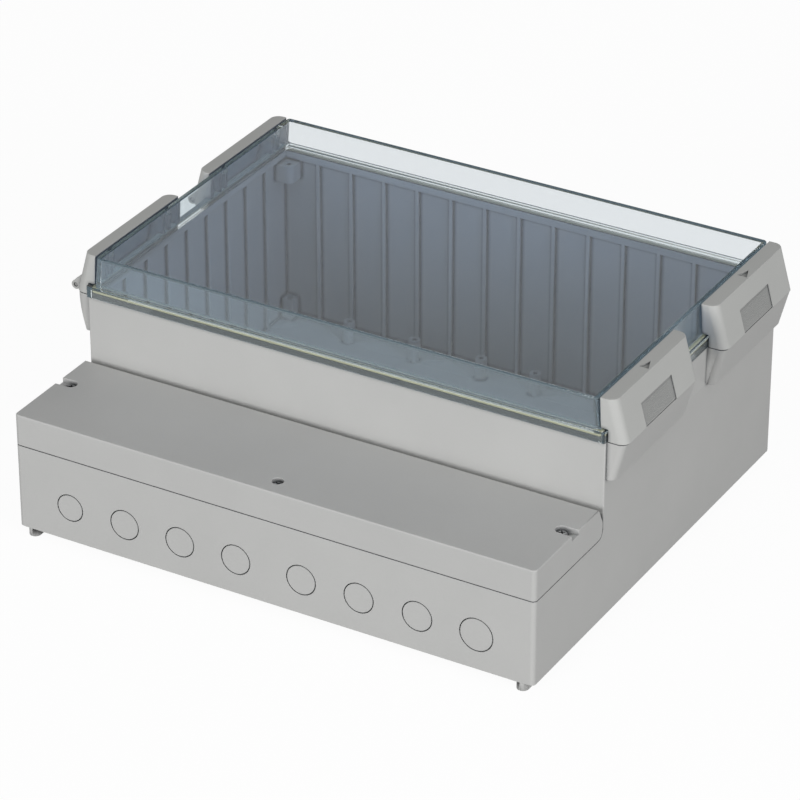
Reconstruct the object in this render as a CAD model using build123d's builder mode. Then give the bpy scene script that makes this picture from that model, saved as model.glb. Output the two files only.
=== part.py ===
from build123d import *
import math
import os

os.makedirs("parts", exist_ok=True)

# Frame: the origin is the centre of the four fixing holes, on the plane the feet stand on.
# X runs along the width, Y from the gland face to the rear, Z up out of the window cover.

# Base
width = 360.0
depth = 314.0
foot_height = 5.5
wall = 3.5
floor_thickness = 4.0
corner_radius = 3.0
half_w = width / 2
front_y = -depth / 2
rear_y = depth / 2
base_z = foot_height
floor_z = base_z + floor_thickness
inner_x = half_w - wall
inner_front_y = front_y + wall
inner_rear_y = rear_y - wall

# Fits between separate pieces
fit = 0.3
run_fit = 0.08
seam = 0.5
swing_gap = 0.4
cut_past = 1.0

# Main bay and its rim
terminal_bay_depth = 83.4
base_height = 120.8
rim_height = 3.7
rim_band = 5.0
main_corner = 1.0
rim_inset = 2.3
rim_radius = 2.0
main_y = front_y + terminal_bay_depth
main_inner_y = main_y + wall
shoulder_z = base_z + base_height
rim_z = shoulder_z + rim_height
rim_bottom_z = rim_z - rim_band
rim_x = half_w - rim_inset
rim_rear_y = rear_y - rim_inset
rim_inner_x = inner_x - rim_inset
rim_inner_rear_y = inner_rear_y - rim_inset

# Terminal bay and its cover
terminal_base_height = 57.1
terminal_cover_height = 21.4
terminal_lean = 5.3
terminal_lean_drop = 11.0
terminal_edge_radius = 0.9
cover_skin = 3.0
skirt_corner = 5.0
tongue_inset = 1.8
tongue_height = 2.0
terminal_seal_height = 2.0
terminal_seal_width = 1.7
ledge_depth = 4.0
ledge_thickness = 3.0
split_z = base_z + terminal_base_height
terminal_top_z = split_z + terminal_cover_height
terminal_low_z = split_z + seam
terminal_rear_y = main_y - seam - 0.1
terminal_lean_y = terminal_rear_y - terminal_lean
terminal_lean_z = terminal_top_z - terminal_lean_drop
seal_z = split_z + tongue_height
rebate_z = seal_z + terminal_seal_height
tongue_x = half_w - tongue_inset
tongue_front_y = front_y + tongue_inset

# Terminal cover screws, their posts in the base and bosses in the cover
side_screw_inset = 9.0
side_screw_back = 48.5
middle_screw_back = 12.8
seat_drop = 5.2
head_radius = 3.4
head_height = 3.2
head_round = 0.8
shank_radius = 2.0
shank_length = 24.4
cross_length = 4.2
cross_width = 0.9
cross_depth = 1.9
post_radius = 5.0
post_rise = 5.4
post_web = 4.0
post_spare = 2.0
boss_radius = 6.2
boss_gap = 2.0
notch_radius = 4.1
notch_depth = 3.2
side_screw_x = half_w - side_screw_inset
side_screw_y = front_y + side_screw_back
middle_screw_y = front_y + middle_screw_back
seat_z = terminal_top_z - seat_drop
shank_bottom_z = seat_z - shank_length
post_top_z = split_z + post_rise
boss_bottom_z = post_top_z + boss_gap
screw_points = [(-side_screw_x, side_screw_y), (side_screw_x, side_screw_y), (0, middle_screw_y)]

# Knockouts in the gland face
knockout_height = 23.4
knockout_first_x = 22.8
knockout_pitch = 39.6
knockout_small = 18.6
knockout_medium = 20.4
knockout_large = 22.5
knockout_groove = 0.5
knockout_thickness = 2.6
knockout_lip = 1.2
knockout_z = base_z + knockout_height
knockouts = [
    ("knockout_a", -knockout_first_x - 3 * knockout_pitch, knockout_small),
    ("knockout_b", -knockout_first_x - 2 * knockout_pitch, knockout_medium),
    ("knockout_c", -knockout_first_x - knockout_pitch, knockout_medium),
    ("knockout_d", -knockout_first_x, knockout_medium),
    ("knockout_e", knockout_first_x, knockout_medium),
    ("knockout_f", knockout_first_x + knockout_pitch, knockout_medium),
    ("knockout_g", knockout_first_x + 2 * knockout_pitch, knockout_medium),
    ("knockout_h", knockout_first_x + 3 * knockout_pitch, knockout_large),
]

# Window cover and its seal
hood_height = 20.5
hood_inset = 5.0
hood_front_inset = 0.6
hood_rear_inset = 1.4
hood_radius = 4.0
hood_lean = 1.7
hood_edge_radius = 1.0
cover_wall = 3.0
flange_thickness = 2.3
skirt_front = 1.3
skirt_gap = 0.4
seat_step = 1.0
cover_seal_height = 2.0
cover_seal_width = 2.4
cover_seal_gap = 0.2
skirt_z = shoulder_z + skirt_gap
flange_seat_z = rim_z + cover_seal_height
flange_top_z = flange_seat_z + flange_thickness
cover_top_z = flange_top_z + hood_height
flange_front_y = main_y - fit - skirt_front
hood_x = half_w - hood_inset
hood_front_y = flange_front_y + hood_front_inset
hood_rear_y = rear_y - hood_rear_inset
hood_draft = math.degrees(math.atan(hood_lean / hood_height))

# Clips on the right, and slimmer hinge leaves on the left
clip_length = 94.5
clip_end_gap = 3.35
clip_top_reach = 4.8
clip_low_reach = 12.7
leaf_top_reach = 3.3
leaf_low_reach = 10.9
clip_corner = 6.0
clip_lift = 0.4
clip_skin = 2.3
clip_top_skin = 2.5
clip_rib = 2.2
clip_end = 3.4
pivot_reach = 2.2
pivot_drop = 5.2
pivot_radius = 1.0
ear_radius = 2.1
ear_thickness = 4.0
ear_offset = 32.0
ear_root = 2.2
clip_y = [flange_front_y + clip_end_gap + clip_length / 2, rear_y - clip_end_gap - clip_length / 2]
clip_inner_x = hood_x - swing_gap
clip_top_x = half_w + clip_top_reach
clip_low_x = half_w + clip_low_reach
leaf_top_x = half_w + leaf_top_reach
leaf_low_x = half_w + leaf_low_reach
clip_z = shoulder_z + clip_lift
clip_step_x = half_w + swing_gap
clip_step_z = flange_top_z + swing_gap
pivot_x = hood_x + pivot_reach
pivot_z = cover_top_z - pivot_drop
pin_half = ear_offset + ear_thickness / 2 + fit + clip_rib

# Catch under each clip and the nose that hooks under it
catch_reach = 4.6
catch_thickness = 2.0
catch_nose = 1.3
catch_height = 2.0
catch_rise = 5.9
catch_length = 48.0
catch_chamfer = 0.6
nose_rise_gap = 0.9
nose_height = 2.7
nose_chamfer = 0.6
catch_x = half_w + catch_reach
catch_face_x = catch_x + catch_thickness
catch_under_z = shoulder_z + catch_rise
catch_top_z = catch_under_z + catch_height
nose_x = catch_face_x + swing_gap
nose_high_z = catch_under_z - nose_rise_gap
nose_low_z = nose_high_z - nose_height

# Finger pad and pointer on each latch
grip_length = 39.0
grip_height = 15.2
grip_shift = -1.5
grip_depth = 0.9
grip_pitch = 1.25
grip_count = 11
ridge_height = 0.45
ridge_half = 0.4
pointer_inset = 2.6
pointer_width = 6.0
pointer_length = 8.6
pointer_back = 2.6
pointer_depth = 1.3

# Lugs below the clips and leaves
lug_height = 25.3
lug_low_reach = 5.2
lug_high_reach = 11.8
leaf_lug_low_reach = 3.2
leaf_lug_high_reach = 10.2
lug_corner = 4.5
lug_skin = 2.4
lug_z = shoulder_z - lug_height
lug_low_x = half_w + lug_low_reach
lug_high_x = half_w + lug_high_reach
leaf_lug_low_x = half_w + leaf_lug_low_reach
leaf_lug_high_x = half_w + leaf_lug_high_reach

# Cover hinge
barrel_reach = 14.3
barrel_lift = 0.4
barrel_radius = 3.0
barrel_half = 41.25
middle_half = 24.0
knuckle_gap = 0.4
gusset_drop = 3.5
gusset_depth = 3.0
knuckle_web_rise = 9.0
knuckle_web = 1.5
knuckle_web_angle = 40.0
hinge_pin_radius = 1.25
hinge_pin_short = 0.5
hinge_x = -half_w - barrel_reach
hinge_z = clip_z + barrel_lift
gusset_z = shoulder_z - gusset_drop
knuckle_web_z = hinge_z + knuckle_web_rise
barrel_low_z = hinge_z - 0.98 * barrel_radius

# Feet and fixing towers
foot_inset = 9.0
foot_width = 7.6
foot_length = 16.0
foot_round = foot_width / 2 - 0.01
fixing_radius = 2.1
tower_size = 8.0
tower_height = 13.0
foot_x = half_w - foot_inset
foot_y = rear_y - foot_length / 2
foot_points = [(side * foot_x, end * foot_y) for side in (-1, 1) for end in (-1, 1)]

# Ribs and bosses inside the main bay
rib_width = 2.4
rib_proud = rim_inset
rear_rib_pitch = 25.0
side_rib_pitch = 23.5
side_rib_count = 8
side_rib_back = 26.0
floor_boss_radius = 3.8
floor_boss_height = 13.0
floor_boss_floor = 2.0
floor_boss_x = [-120.0, -70.0, -20.0, 20.0, 70.0, 120.0]
floor_boss_inset = 13.3
boss_hole_radius = 1.6
corner_boss_inset = 8.5
corner_boss_radius = 4.5
corner_boss_drop = 5.6
corner_boss_height = 12.5
corner_boss_floor = 2.5
corner_fill = 4.5
cable_pass_x = [-105.0, 0.0, 105.0]
cable_pass_width = 80.0
cable_pass_height = 24.0
cable_pass_radius = 3.0
cable_pass_rise = 10.5
cable_pass_z = floor_z + cable_pass_rise + cable_pass_height / 2
corner_boss_z = rim_z - corner_boss_drop
corner_boss_x = inner_x - corner_boss_inset
floor_boss_y = [main_inner_y + floor_boss_inset, inner_rear_y - floor_boss_inset]
floor_boss_points = [(x, y) for x in floor_boss_x for y in floor_boss_y]
rear_rib_count = int((inner_x - rib_width) // rear_rib_pitch)


def slant_x(z, low_z, high_z, low_x, high_x):
    # X at height z on a face that leans between two heights
    return low_x + (z - low_z) / (high_z - low_z) * (high_x - low_x)


def clip_outer_x(z):
    # Outer face of a clip at height z
    return slant_x(z, clip_z, cover_top_z, clip_low_x, clip_top_x)


def leaf_outer_x(z):
    # Outer face of a leaf at height z
    return slant_x(z, clip_z, cover_top_z, leaf_low_x, leaf_top_x)


def lug_outer_x(z):
    # Outer face of a right lug at height z
    return slant_x(z, lug_z, shoulder_z, lug_low_x, lug_high_x)


def leaf_lug_outer_x(z):
    # Outer face of a left lug at height z
    return slant_x(z, lug_z, shoulder_z, leaf_lug_low_x, leaf_lug_high_x)


def span(x_low, x_high, y_low, y_high, mode=Mode.ADD):
    # Rectangle between two limits each way, inside the sketch that calls it
    with Locations(((x_low + x_high) / 2, (y_low + y_high) / 2)):
        Rectangle(x_high - x_low, y_high - y_low, mode=mode)


def round_span(x_low, x_high, y_low, y_high, radius):
    # The same with rounded corners
    with Locations(((x_low + x_high) / 2, (y_low + y_high) / 2)):
        RectangleRounded(x_high - x_low, y_high - y_low, radius)


def outline(*points):
    # Closed straight-sided profile, inside the sketch that calls it
    Polygon(*points, align=None)


def crisp_front(sketch, y_low, y_high):
    # Rectangle of the body's full width with nearly sharp front corners
    span(-half_w, half_w, y_low, y_high)
    fillet(sketch.vertices().group_by(Axis.Y)[0], radius=main_corner)
    fillet(sketch.vertices().group_by(Axis.Y)[-1], radius=corner_radius)


# Right lug, centred on Y
with BuildPart() as lug:
    with BuildSketch(Plane.XZ.offset(-clip_length / 2)):
        outline(
            (half_w - wall / 2, lug_z),
            (lug_low_x, lug_z),
            (lug_high_x, shoulder_z),
            (half_w - wall / 2, shoulder_z),
        )
    extrude(amount=clip_length)
    lug_corners = [
        edge
        for edge in lug.edges()
        if edge.center().X > half_w and lug_z + lug_skin < edge.center().Z < shoulder_z - lug_skin
    ]
    fillet(lug_corners, radius=lug_corner)
    # Open pockets underneath, with ribs left between them
    pocket = (clip_length - 4 * lug_skin) / 3
    pocket_top_z = shoulder_z - lug_skin
    for step in (-1, 0, 1):
        pocket_end = step * (pocket + lug_skin) + pocket / 2
        with BuildSketch(Plane.XZ.offset(-pocket_end)):
            outline(
                (half_w, lug_z - cut_past),
                (lug_outer_x(lug_z - cut_past) - lug_skin, lug_z - cut_past),
                (lug_outer_x(pocket_top_z) - lug_skin, pocket_top_z),
                (half_w, pocket_top_z),
            )
        extrude(amount=pocket, mode=Mode.SUBTRACT)

# Left lug, drawn on the right and centred on Y: a slim wedge with rounded ends
with BuildPart() as leaf_lug:
    with BuildSketch(Plane.XZ.offset(-clip_length / 2)):
        outline(
            (half_w - wall / 2, lug_z),
            (leaf_lug_low_x, lug_z),
            (leaf_lug_high_x, shoulder_z),
            (half_w - wall / 2, shoulder_z),
        )
    extrude(amount=clip_length)
    with BuildSketch(Plane.XY.offset(lug_z)):
        round_span(0, leaf_lug_high_x, -clip_length / 2, clip_length / 2, clip_corner)
    extrude(amount=lug_height, mode=Mode.INTERSECT)

# Base shell
with BuildPart() as base_shell:
    # Low tray under both bays, tall main bay and the rim inside the window cover
    with BuildSketch(Plane.XY.offset(base_z)):
        RectangleRounded(width, depth, corner_radius)
    extrude(amount=split_z - base_z)
    with BuildSketch(Plane.XY.offset(split_z)) as bay_outline:
        crisp_front(bay_outline, main_y, rear_y)
    extrude(amount=shoulder_z - split_z)
    with BuildSketch(Plane.XY.offset(shoulder_z)):
        round_span(-rim_x, rim_x, main_y, rim_rear_y, rim_radius)
    extrude(amount=rim_z - shoulder_z)
    # Tongue under the terminal cover
    with BuildSketch(Plane.XY.offset(split_z)):
        span(-tongue_x, tongue_x, tongue_front_y, main_y + wall / 2)
    extrude(amount=tongue_height)
    # Hollows of the terminal bay and of the main bay, narrower inside the rim
    with BuildSketch(Plane.XY.offset(floor_z)):
        span(-inner_x, inner_x, inner_front_y, main_y)
    extrude(amount=seal_z - floor_z, mode=Mode.SUBTRACT)
    with BuildSketch(Plane.XY.offset(floor_z)):
        span(-inner_x, inner_x, main_inner_y, inner_rear_y)
    extrude(amount=rim_bottom_z - floor_z, mode=Mode.SUBTRACT)
    with BuildSketch(Plane.XY.offset(rim_bottom_z)):
        span(-rim_inner_x, rim_inner_x, main_inner_y, rim_inner_rear_y)
    extrude(amount=rim_z - rim_bottom_z, mode=Mode.SUBTRACT)
    # Ledge on the partition, under the rear run of the terminal seal
    with BuildSketch(Plane.XY.offset(split_z - ledge_thickness)):
        span(-inner_x - wall / 4, inner_x + wall / 4, main_y - ledge_depth, main_y + wall / 2)
    extrude(amount=ledge_thickness + tongue_height)
    # Rounded fillets where the side walls step up behind the terminal cover
    fillet_y = terminal_rear_y - skirt_corner
    fillet_z = terminal_low_z + skirt_corner
    for wall_x in (-half_w, inner_x):
        with BuildSketch(Plane.YZ.offset(wall_x)):
            span(fillet_y, main_y + wall, split_z, fillet_z)
            with Locations((fillet_y, fillet_z)):
                Circle(skirt_corner + seam, mode=Mode.SUBTRACT)
        extrude(amount=wall)
    # Cable passes through the partition
    with BuildSketch(Plane.XZ.offset(-main_inner_y - cut_past)):
        with Locations(*[(x, cable_pass_z) for x in cable_pass_x]):
            RectangleRounded(cable_pass_width, cable_pass_height, cable_pass_radius)
    extrude(amount=wall + 2 * cut_past, mode=Mode.SUBTRACT)
    # Posts for the terminal cover screws, each with a web to its wall
    with BuildSketch(Plane.XY.offset(floor_z)):
        with Locations(*screw_points):
            Circle(post_radius)
    extrude(amount=post_top_z - floor_z)
    with BuildSketch(Plane.XY.offset(floor_z)):
        for side in (-1, 1):
            with Locations((side * (side_screw_x + half_w) / 2, side_screw_y)):
                Rectangle(half_w - side_screw_x, post_web)
        span(-post_web / 2, post_web / 2, front_y + wall / 2, middle_screw_y)
    extrude(amount=split_z - floor_z)
    with BuildSketch(Plane.XY.offset(post_top_z)):
        with Locations(*screw_points):
            Circle(shank_radius + run_fit)
    extrude(amount=-(post_top_z - shank_bottom_z + post_spare), mode=Mode.SUBTRACT)
    # Knockout openings, with a thin lip left at the inside
    for name, x, diameter in knockouts:
        with BuildSketch(Plane.XZ.offset(-inner_front_y - cut_past)):
            with Locations((x, knockout_z)):
                Circle(diameter / 2 - knockout_lip)
        extrude(amount=wall + 2 * cut_past, mode=Mode.SUBTRACT)
        with BuildSketch(Plane.XZ.offset(-front_y - knockout_thickness)):
            with Locations((x, knockout_z)):
                Circle(diameter / 2)
        extrude(amount=knockout_thickness + cut_past, mode=Mode.SUBTRACT)
    # Ribs on the rear wall and on both side walls
    with BuildSketch(Plane.XY.offset(floor_z)):
        for step in range(-rear_rib_count, rear_rib_count + 1):
            with Locations((step * rear_rib_pitch, inner_rear_y)):
                Rectangle(rib_width, 2 * rib_proud)
        for step in range(side_rib_count):
            rib_y = inner_rear_y - side_rib_back - step * side_rib_pitch
            with Locations((-inner_x, rib_y), (inner_x, rib_y)):
                Rectangle(2 * rib_proud, rib_width)
    extrude(amount=rim_bottom_z - floor_z)
    # Floor bosses for a mounting plate
    with BuildSketch(Plane.XY.offset(floor_z)):
        with Locations(*floor_boss_points):
            Circle(floor_boss_radius)
    extrude(amount=floor_boss_height)
    with BuildSketch(Plane.XY.offset(floor_z + floor_boss_floor)):
        with Locations(*floor_boss_points):
            Circle(boss_hole_radius)
    extrude(amount=floor_boss_height - floor_boss_floor, mode=Mode.SUBTRACT)
    # Corner bosses beside the rim
    for side in (-1, 1):
        for end, y_wall in ((-1, main_inner_y), (1, inner_rear_y)):
            boss_x = side * corner_boss_x
            boss_y = y_wall - end * corner_boss_inset
            side_x = side * (inner_x + wall / 4)
            wall_y = y_wall + end * wall / 4
            with BuildSketch(Plane.XY.offset(corner_boss_z - corner_boss_height)):
                with Locations((boss_x, boss_y)):
                    Circle(corner_boss_radius)
                with Locations(((boss_x + side_x) / 2, boss_y)):
                    Rectangle(abs(side_x - boss_x), 2 * corner_boss_radius)
                with Locations((boss_x, (boss_y + wall_y) / 2)):
                    Rectangle(2 * corner_boss_radius, abs(wall_y - boss_y))
                with Locations(((boss_x + side_x) / 2, (boss_y + wall_y) / 2)):
                    Rectangle(abs(side_x - boss_x), abs(wall_y - boss_y))
            extrude(amount=corner_boss_height)
            with BuildSketch(Plane.XY.offset(corner_boss_z - corner_boss_height + corner_boss_floor)):
                with Locations((boss_x, boss_y)):
                    Circle(boss_hole_radius)
            extrude(amount=corner_boss_height - corner_boss_floor, mode=Mode.SUBTRACT)
    # Feet, fixing towers and the fixing holes through both
    with BuildSketch():
        with Locations(*foot_points):
            RectangleRounded(foot_width, foot_length, foot_round)
    extrude(amount=base_z)
    with BuildSketch(Plane.XY.offset(floor_z)):
        with Locations(*foot_points):
            Rectangle(tower_size, tower_size)
        for side in (-foot_x, foot_x):
            span(side - tower_size / 2, side + tower_size / 2, foot_y, rear_y - wall / 2)
            span(side - tower_size / 2, side + tower_size / 2, front_y + wall / 2, -foot_y)
    extrude(amount=tower_height)
    with BuildSketch():
        with Locations(*foot_points):
            Circle(fixing_radius)
    extrude(amount=floor_z + tower_height, mode=Mode.SUBTRACT)
    # Lugs on both sides
    for y in clip_y:
        add(lug.part.moved(Location((0, y, 0))))
        add(leaf_lug.part.mirror(Plane.YZ).moved(Location((0, y, 0))))
    # Catches on the right lugs
    for y in clip_y:
        with BuildSketch(Plane.XZ.offset(-y - catch_length / 2)):
            outline(
                (catch_x, shoulder_z - lug_skin / 2),
                (catch_x, catch_top_z - catch_chamfer),
                (catch_x + catch_chamfer, catch_top_z),
                (catch_face_x, catch_top_z),
                (catch_face_x + catch_nose, catch_under_z + catch_chamfer),
                (catch_face_x + catch_nose, catch_under_z),
                (catch_face_x, catch_under_z),
                (catch_face_x, shoulder_z - lug_skin / 2),
            )
        extrude(amount=catch_length)
    # Hinge knuckles on short webs beside the left lugs
    for y in clip_y:
        with BuildSketch(Plane.XZ.offset(-y - middle_half)):
            with Locations((hinge_x, hinge_z)):
                Circle(barrel_radius)
            outline(
                (hinge_x, shoulder_z),
                (hinge_x, barrel_low_z),
                (-leaf_lug_outer_x(gusset_z), gusset_z),
                (-leaf_lug_outer_x(gusset_z) + gusset_depth, gusset_z),
                (-leaf_lug_high_x + gusset_depth, shoulder_z),
            )
        extrude(amount=2 * middle_half)
        with BuildSketch(Plane.XZ.offset(-y - middle_half - cut_past)):
            with Locations((hinge_x, hinge_z)):
                Circle(hinge_pin_radius)
        extrude(amount=2 * middle_half + 2 * cut_past, mode=Mode.SUBTRACT)
base_shell.part.label = "base_shell"
export_step(base_shell.part, "parts/base_shell.step")

# Knockout blanks, one in each opening of the gland face
for name, x, diameter in knockouts:
    with BuildPart() as knockout:
        with BuildSketch(Plane.XZ.offset(-front_y - knockout_thickness)):
            with Locations((x, knockout_z)):
                Circle(diameter / 2 - knockout_groove)
        extrude(amount=knockout_thickness)
    knockout.part.label = name
    export_step(knockout.part, "parts/" + name + ".step")

# Terminal cover
with BuildPart() as terminal_cover:
    # Side profile drawn once and run across the width
    corner_y = terminal_rear_y - skirt_corner
    corner_z = terminal_low_z + skirt_corner
    corner_reach = skirt_corner * math.sqrt(0.5)
    with BuildSketch(Plane.YZ.offset(-half_w)):
        with BuildLine():
            Polyline(
                (corner_y, terminal_low_z),
                (front_y, terminal_low_z),
                (front_y, terminal_top_z),
                (terminal_lean_y, terminal_top_z),
                (terminal_rear_y, terminal_lean_z),
                (terminal_rear_y, corner_z),
            )
            ThreePointArc(
                (terminal_rear_y, corner_z),
                (corner_y + corner_reach, corner_z - corner_reach),
                (corner_y, terminal_low_z),
            )
        make_face()
    extrude(amount=width)
    front_corners = terminal_cover.edges().filter_by(Axis.Z).group_by(Axis.Y)[0]
    fillet(front_corners, radius=corner_radius)
    top_edges = terminal_cover.faces().sort_by(Axis.Z)[-1].edges()
    fillet(top_edges, radius=terminal_edge_radius)
    # Hollow, with a leaning rear wall
    inner_top_z = terminal_top_z - cover_skin
    with BuildSketch(Plane.YZ.offset(-inner_x)):
        outline(
            (inner_front_y, terminal_low_z - cut_past),
            (inner_front_y, inner_top_z),
            (terminal_lean_y - cover_skin, inner_top_z),
            (terminal_rear_y - cover_skin, terminal_lean_z - cover_skin / 2),
            (terminal_rear_y - cover_skin, terminal_low_z - cut_past),
        )
    extrude(amount=2 * inner_x, mode=Mode.SUBTRACT)
    # Rebate that drops over the tongue and the seal
    with BuildSketch(Plane.XY.offset(split_z)):
        span(-tongue_x - fit, tongue_x + fit, tongue_front_y - fit, main_y)
    extrude(amount=rebate_z - split_z, mode=Mode.SUBTRACT)
    # Bosses around the screws, each joined to its wall
    with BuildSketch(Plane.XY.offset(boss_bottom_z)):
        with Locations(*screw_points):
            Circle(boss_radius)
        for side in (-1, 1):
            with Locations((side * (side_screw_x + half_w - wall / 2) / 2, side_screw_y)):
                Rectangle(half_w - wall / 2 - side_screw_x, 2 * boss_radius)
        span(-boss_radius, boss_radius, front_y + wall / 2, middle_screw_y)
    extrude(amount=terminal_top_z - cover_skin / 2 - boss_bottom_z)
    # Open notches over the side screws
    with BuildSketch(Plane.XY.offset(terminal_top_z - notch_depth)):
        for side in (-1, 1):
            with Locations((side * side_screw_x, side_screw_y)):
                Circle(notch_radius)
            with Locations((side * (side_screw_x + half_w + cut_past) / 2, side_screw_y)):
                Rectangle(half_w + cut_past - side_screw_x, 2 * notch_radius)
    extrude(amount=notch_depth + cut_past, mode=Mode.SUBTRACT)
    # Counterbores and clearance holes
    with BuildSketch(Plane.XY.offset(seat_z)):
        with Locations(*screw_points):
            Circle(head_radius + fit)
    extrude(amount=seat_drop + cut_past, mode=Mode.SUBTRACT)
    with BuildSketch(Plane.XY.offset(boss_bottom_z - cut_past)):
        with Locations(*screw_points):
            Circle(shank_radius + fit)
    extrude(amount=seat_z - boss_bottom_z + cut_past, mode=Mode.SUBTRACT)
terminal_cover.part.label = "terminal_cover"
export_step(terminal_cover.part, "parts/terminal_cover.step")

# Terminal seal between the tongue and the cover's rebate
with BuildPart() as terminal_seal:
    seal_rear_y = terminal_rear_y - (cover_skin - terminal_seal_width)
    with BuildSketch(Plane.XY.offset(seal_z)):
        span(-tongue_x, tongue_x, tongue_front_y, seal_rear_y)
        span(-inner_x, inner_x, inner_front_y, seal_rear_y - terminal_seal_width, Mode.SUBTRACT)
    extrude(amount=terminal_seal_height)
terminal_seal.part.label = "terminal_seal"
export_step(terminal_seal.part, "parts/terminal_seal.step")

# Terminal cover screws with a cross recess, each left at its own turn
screw_names = ["terminal_screw_left", "terminal_screw_right", "terminal_screw_centre"]
screw_turns = [20.0, 35.0, 65.0]
for name, (x, y), turn in zip(screw_names, screw_points, screw_turns):
    with BuildPart() as screw:
        with BuildSketch(Plane.XY.offset(seat_z)):
            with Locations((x, y)):
                Circle(head_radius)
        extrude(amount=head_height)
        head_rim = screw.faces().sort_by(Axis.Z)[-1].edges()
        fillet(head_rim, radius=head_round)
        with BuildSketch(Plane.XY.offset(shank_bottom_z)):
            with Locations((x, y)):
                Circle(shank_radius)
        extrude(amount=shank_length)
        with BuildSketch(Plane.XY.offset(seat_z + head_height - cross_depth)):
            with Locations(Location((x, y), turn)):
                Rectangle(cross_length, cross_width)
                Rectangle(cross_width, cross_length)
        extrude(amount=cross_depth, mode=Mode.SUBTRACT)
    screw.part.label = name
    export_step(screw.part, "parts/" + name + ".step")

# Window cover
with BuildPart() as window_cover:
    # Drafted hood
    with BuildSketch(Plane.XY.offset(flange_top_z)):
        round_span(-hood_x, hood_x, hood_front_y, hood_rear_y, hood_radius)
    extrude(amount=hood_height, taper=hood_draft)
    hood_top = window_cover.faces().sort_by(Axis.Z)[-1].edges()
    fillet(hood_top, radius=hood_edge_radius)
    # Flange and skirt around the rim of the base
    with BuildSketch(Plane.XY.offset(skirt_z)) as flange_outline:
        crisp_front(flange_outline, flange_front_y, rear_y)
    extrude(amount=flange_top_z - skirt_z)
    with BuildSketch(Plane.XY.offset(skirt_z)):
        round_span(-rim_x - fit, rim_x + fit, main_y - fit, rim_rear_y + fit, rim_radius + fit)
    extrude(amount=flange_seat_z - skirt_z, mode=Mode.SUBTRACT)
    # Hollow of the hood, with a small step above the seal
    hollow_x = hood_x - cover_wall
    hollow_front_y = hood_front_y + cover_wall
    hollow_rear_y = hood_rear_y - cover_wall
    hollow_radius = hood_radius / 2
    with BuildSketch(Plane.XY.offset(flange_seat_z)):
        round_span(-hollow_x, hollow_x, hollow_front_y + seat_step, hollow_rear_y - seat_step, hollow_radius)
    extrude(amount=flange_thickness, mode=Mode.SUBTRACT)
    with BuildSketch(Plane.XY.offset(flange_top_z)):
        round_span(-hollow_x, hollow_x, hollow_front_y, hollow_rear_y, hollow_radius)
    extrude(amount=hood_height - cover_wall, taper=hood_draft, mode=Mode.SUBTRACT)
    # Ears that carry the pivots of the clips and leaves
    for side in (-1, 1):
        for y in clip_y:
            for ear_y in (y - ear_offset, y + ear_offset):
                with BuildSketch(Plane.XZ.offset(-ear_y - ear_thickness / 2)):
                    with Locations((side * pivot_x, pivot_z)):
                        Circle(ear_radius)
                    with Locations((side * (pivot_x + hood_x - ear_root) / 2, pivot_z)):
                        Rectangle(pivot_x - hood_x + ear_root, 2 * ear_radius)
                    with Locations((side * pivot_x, pivot_z)):
                        Circle(pivot_radius, mode=Mode.SUBTRACT)
                extrude(amount=ear_thickness)
window_cover.part.label = "window_cover"
export_step(window_cover.part, "parts/window_cover.step")

# Window cover seal, pressed on the rim of the base
with BuildPart() as cover_seal:
    seal_x = rim_x - cover_seal_gap
    seal_front_y = main_y + cover_seal_gap
    seal_back_y = rim_rear_y - cover_seal_gap
    with BuildSketch(Plane.XY.offset(rim_z)):
        round_span(-seal_x, seal_x, seal_front_y, seal_back_y, rim_radius - cover_seal_gap)
        span(
            -seal_x + cover_seal_width,
            seal_x - cover_seal_width,
            seal_front_y + cover_seal_width,
            seal_back_y - cover_seal_width,
            Mode.SUBTRACT,
        )
    extrude(amount=cover_seal_height)
cover_seal.part.label = "cover_seal"
export_step(cover_seal.part, "parts/cover_seal.step")


def clip_blank(outer_x):
    # Clip or leaf before its details, drawn on the right and centred on Y
    with BuildPart() as blank:
        with BuildSketch(Plane.XZ.offset(-clip_length / 2)):
            outline(
                (clip_inner_x, cover_top_z),
                (outer_x(cover_top_z), cover_top_z),
                (outer_x(clip_z), clip_z),
                (clip_step_x, clip_z),
                (clip_step_x, clip_step_z),
                (clip_inner_x + seat_step, clip_step_z),
            )
        extrude(amount=clip_length)
        corners = [
            edge
            for edge in blank.edges()
            if edge.center().X > outer_x(cover_top_z)
            and clip_z + clip_skin < edge.center().Z < cover_top_z - clip_skin
        ]
        fillet(corners, radius=clip_corner)
        # Cells inside, open towards the window cover, with ribs beside each ear
        slot_near = ear_offset - ear_thickness / 2 - fit
        slot_far = ear_offset + ear_thickness / 2 + fit
        cell_middle = slot_near - clip_rib
        cell_end = clip_length / 2 - clip_end
        cells = [
            (-cell_end, -pin_half),
            (-slot_far, -slot_near),
            (-cell_middle, cell_middle),
            (slot_near, slot_far),
            (pin_half, cell_end),
        ]
        cell_top_z = cover_top_z - clip_top_skin
        for low, high in cells:
            with BuildSketch(Plane.XZ.offset(-high)):
                outline(
                    (clip_inner_x - cut_past, cell_top_z),
                    (outer_x(cell_top_z) - clip_skin, cell_top_z),
                    (outer_x(clip_z - cut_past) - clip_skin, clip_z - cut_past),
                    (clip_inner_x - cut_past, clip_z - cut_past),
                )
            extrude(amount=high - low, mode=Mode.SUBTRACT)
        # Pivot bore
        with BuildSketch(Plane.XZ.offset(-pin_half)):
            with Locations((pivot_x, pivot_z)):
                Circle(pivot_radius + run_fit)
        extrude(amount=2 * pin_half, mode=Mode.SUBTRACT)
    return blank.part


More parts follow.
